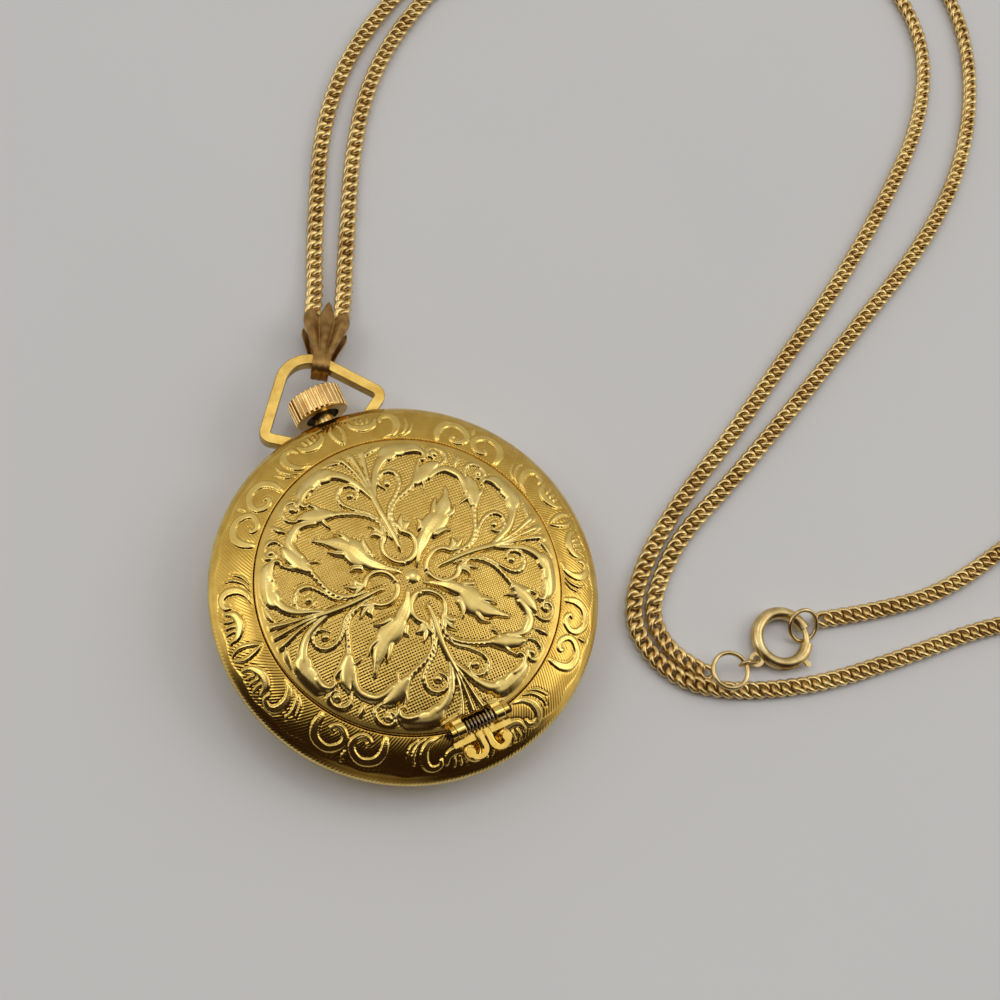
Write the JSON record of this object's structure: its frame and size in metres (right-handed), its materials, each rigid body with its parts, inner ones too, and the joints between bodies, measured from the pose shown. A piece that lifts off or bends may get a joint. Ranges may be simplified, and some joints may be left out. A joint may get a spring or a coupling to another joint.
{
  "type": "pendant watch",
  "caption": "Round hunter-case pendant watch with a sprung chased lid, fluted crown and rounded-triangle bow, hung by a folded bail on a curb chain with a spring-ring clasp",
  "frame": {"origin": "on the case's axis, in the flat of the back that the watch rests on", "axes": "+Z out of the lid, +Y from the middle of the dial to 12 o'clock and the crown, +X to 3 o'clock"},
  "size_m": [0.1097, 0.1008, 0.0082],
  "materials": {
    "gold_case": "gold-plated brass, polished and chased, satin ground between the relief",
    "gold_crown": "gold-plated brass, fluted, warmer than the case",
    "aged_brass": "brass, brown with tarnish, worn bright on its edges",
    "gold_chain": "gold-plated curb chain, polished",
    "gold_clasp": "gold-plated brass, polished, pale",
    "spring_steel": "blackened spring steel",
    "acrylic": "clear polished acrylic",
    "brass_ring": "turned brass",
    "dial_enamel": "cream enamel, satin",
    "dark_hands": "blackened brass, satin",
    "nickel_plate": "nickel-plated brass, brushed",
    "wheel_brass": "cut brass, fine grained",
    "tool_steel": "hardened steel, polished",
    "ruby": "synthetic ruby, polished",
    "rubber_seal": "black rubber"
  },
  "bodies": {
    "case": {"case_middle": "gold_case", "case_back": "gold_case", "pendant_tube": "brass_ring", "bow": "gold_case", "hinge_bracket": "gold_case", "hinge_pin": "spring_steel", "hinge_spring": "spring_steel", "crystal": "acrylic", "crystal_ring": "brass_ring", "dial": "dial_enamel", "hour_markers": "dark_hands", "movement_ring": "brass_ring", "mainplate": "nickel_plate", "barrel_bridge": "nickel_plate", "train_bridge": "nickel_plate", "pallet_cock": "nickel_plate", "balance_cock": "nickel_plate", "bridge_screws": "tool_steel", "train_jewels": "ruby", "click": "tool_steel", "hairspring": "spring_steel", "chain_left_near": "gold_chain", "chain_right_near": "gold_chain", "chain_left": "gold_chain", "chain_right": "gold_chain", "jump_ring_left": "gold_clasp", "jump_ring_right": "gold_clasp", "clasp_tube": "gold_clasp", "clasp_connector": "gold_clasp", "clasp_spring": "spring_steel"},
    "lid": {"lid": "gold_case", "lid_knuckles": "gold_case"},
    "crown_slide": {"crown_gasket": "rubber_seal"},
    "crown": {"crown": "gold_crown", "winding_stem": "tool_steel"},
    "winding_pinion": {"winding_pinion": "tool_steel"},
    "crown_wheel": {"crown_wheel": "tool_steel"},
    "ratchet": {"ratchet_wheel": "tool_steel", "barrel_arbor": "tool_steel"},
    "barrel": {"barrel": "wheel_brass", "barrel_lid": "wheel_brass", "mainspring": "spring_steel"},
    "centre": {"centre_wheel": "wheel_brass", "cannon_pinion": "tool_steel", "minute_hand": "dark_hands"},
    "hour": {"hour_wheel": "wheel_brass", "hour_hand": "dark_hands"},
    "minute_wheel": {"minute_wheel": "wheel_brass"},
    "third": {"third_wheel": "wheel_brass"},
    "fourth": {"fourth_wheel": "wheel_brass"},
    "escape": {"escape_wheel": "tool_steel"},
    "pallet": {"pallet_fork": "tool_steel"},
    "balance": {"balance_wheel": "wheel_brass"},
    "bail": {"bail": "aged_brass"},
    "clasp_bolt": {"clasp_bolt": "gold_clasp"}
  },
  "joints": [
    {"name": "lid_hinge", "type": "hinge", "parent": "case", "child": "lid", "pos_m": [0, -0.01375, 0.00695], "axis": [1, 0, 0], "range_deg": [0, 105], "deforming": ["hinge_spring"]},
    {"name": "crown_pull", "type": "slide", "parent": "case", "child": "crown_slide", "axis": [0, 1, 0], "range_m": [-0.0003, 0.0005]},
    {"name": "crown_turn", "type": "hinge", "parent": "crown_slide", "child": "crown", "pos_m": [0, 0.0194, 0.0034], "axis": [0, 1, 0], "continuous": true},
    {"name": "winding_pinion_turn", "type": "hinge", "parent": "case", "child": "winding_pinion", "pos_m": [0, 0.0083, 0.0034], "axis": [0, 1, 0], "continuous": true},
    {"name": "crown_wheel_turn", "type": "hinge", "parent": "case", "child": "crown_wheel", "pos_m": [0, 0.00643, 0.0043], "axis": [0, 0, 1], "continuous": true},
    {"name": "ratchet_turn", "type": "hinge", "parent": "case", "child": "ratchet", "pos_m": [-0.00264, 0.00377, 0.0043], "axis": [0, 0, 1], "continuous": true},
    {"name": "minute_hand_turn", "type": "hinge", "parent": "case", "child": "centre", "pos_m": [0, 0, 0.0042], "axis": [0, 0, 1], "continuous": true},
    {"name": "hour_hand_turn", "type": "hinge", "parent": "case", "child": "hour", "pos_m": [0, 0, 0.0045], "axis": [0, 0, 1], "continuous": true},
    {"name": "minute_wheel_turn", "type": "hinge", "parent": "case", "child": "minute_wheel", "pos_m": [0.0017, -0.0017, 0.0042], "axis": [0, 0, 1], "continuous": true},
    {"name": "barrel_turn", "type": "hinge", "parent": "case", "child": "barrel", "pos_m": [-0.00264, 0.00377, 0.0019], "axis": [0, 0, 1], "continuous": true},
    {"name": "third_wheel_turn", "type": "hinge", "parent": "case", "child": "third", "pos_m": [0.00295, -0.00206, 0.0021], "axis": [0, 0, 1], "continuous": true},
    {"name": "fourth_wheel_turn", "type": "hinge", "parent": "case", "child": "fourth", "pos_m": [0.002, -0.00497, 0.0018], "axis": [0, 0, 1], "continuous": true},
    {"name": "escape_wheel_turn", "type": "hinge", "parent": "case", "child": "escape", "pos_m": [-0.00087, -0.0053, 0.0023], "axis": [0, 0, 1], "continuous": true},
    {"name": "pallet_rock", "type": "hinge", "parent": "case", "child": "pallet", "pos_m": [-0.00321, -0.00625, 0.0023], "axis": [0, 0, 1], "range_deg": [-5, 5]},
    {"name": "balance_swing", "type": "hinge", "parent": "case", "child": "balance", "pos_m": [-0.00491, -0.0036, 0.0017], "axis": [0, 0, 1], "range_deg": [-270, 270], "stiffness_Nm_per_rad": 0.0000001, "deforming": ["hairspring"]},
    {"name": "bail_swing", "type": "hinge", "parent": "case", "child": "bail", "pos_m": [0.002, 0.02326, 0.0037], "axis": [0.8572, -0.515, 0], "range_deg": [0, 60], "deforming": ["chain_left_near", "chain_right_near"]},
    {"name": "clasp_trigger", "type": "hinge", "parent": "case", "child": "clasp_bolt", "pos_m": [0.0319, -0.01785, 0.00075], "axis": [0, 0, 1], "range_deg": [-40, 0], "stiffness_Nm_per_rad": 0.002, "deforming": ["clasp_spring"]}
  ],
  "couplings": [
    {"joint": "winding_pinion_turn", "follows": "crown_turn", "ratio": 1},
    {"joint": "crown_wheel_turn", "follows": "crown_turn", "ratio": -0.5},
    {"joint": "ratchet_turn", "follows": "crown_turn", "ratio": 0.46154},
    {"joint": "hour_hand_turn", "follows": "minute_hand_turn", "ratio": 0.083333},
    {"joint": "minute_wheel_turn", "follows": "minute_hand_turn", "ratio": -0.33333},
    {"joint": "barrel_turn", "follows": "minute_hand_turn", "ratio": -0.14286},
    {"joint": "third_wheel_turn", "follows": "minute_hand_turn", "ratio": -8},
    {"joint": "fourth_wheel_turn", "follows": "minute_hand_turn", "ratio": 60}
  ]
}
